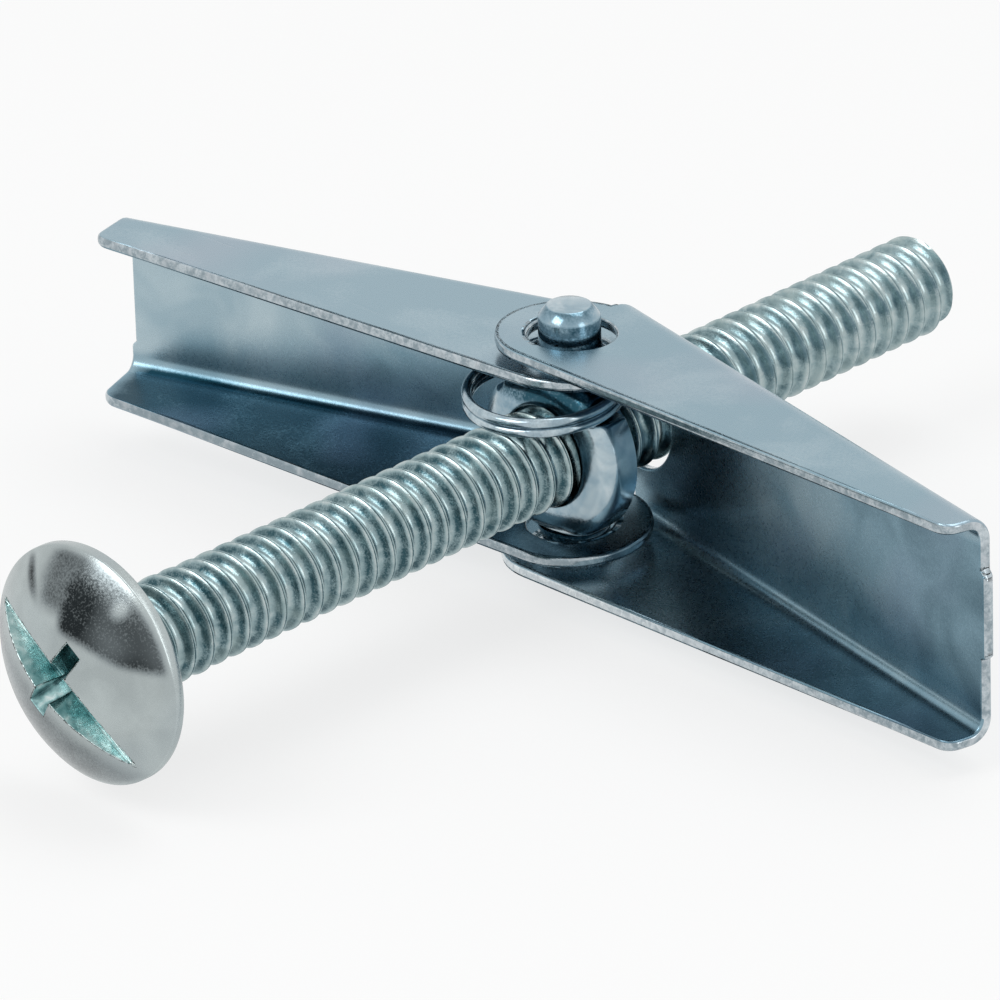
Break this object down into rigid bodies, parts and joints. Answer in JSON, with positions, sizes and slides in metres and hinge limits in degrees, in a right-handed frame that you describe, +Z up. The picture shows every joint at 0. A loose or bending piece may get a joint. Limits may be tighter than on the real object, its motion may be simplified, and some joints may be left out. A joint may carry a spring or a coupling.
{
  "type": "spring toggle bolt",
  "caption": "Spring toggle bolt: round-headed machine screw through a trunnion nut, with two folded sheet-steel wings that spring open and fold back along the screw.",
  "frame": {"origin": "centre of the head's bearing face, on the bolt's axis", "axes": "+Y along the bolt from the head to the tip, +Z up along the wings' hinge pins, +X towards the outer wing's side"},
  "size_m": [0.0513, 0.0526, 0.013],
  "materials": {
    "bolt_zinc": "bright zinc plate",
    "nut_zinc": "bright zinc plate",
    "spring_zinc": "bright zinc plate",
    "wing_zinc": "bright zinc plate with a blue passivate"
  },
  "bodies": {
    "nut": {"nut": "nut_zinc", "spring": "spring_zinc"},
    "bolt": {"bolt": "bolt_zinc"},
    "wing_inner": {"wing_inner": "wing_zinc"},
    "wing_outer": {"wing_outer": "wing_zinc"}
  },
  "joints": [
    {"name": "bolt_travel", "type": "slide", "parent": "nut", "child": "bolt", "axis": [0, -1, 0], "range_m": [-0.002, 0.018]},
    {"name": "inner_wing_hinge", "type": "hinge", "parent": "nut", "child": "wing_inner", "pos_m": [0, 0.028, 0], "axis": [0, 0, 1], "range_deg": [0, 73], "stiffness_Nm_per_rad": 0.004, "springref_deg": -34.38, "deforming": ["spring"]},
    {"name": "outer_wing_hinge", "type": "hinge", "parent": "nut", "child": "wing_outer", "pos_m": [0, 0.028, 0], "axis": [0, 0, -1], "range_deg": [0, 76.8], "stiffness_Nm_per_rad": 0.004, "springref_deg": -34.38, "deforming": ["spring"]}
  ]
}
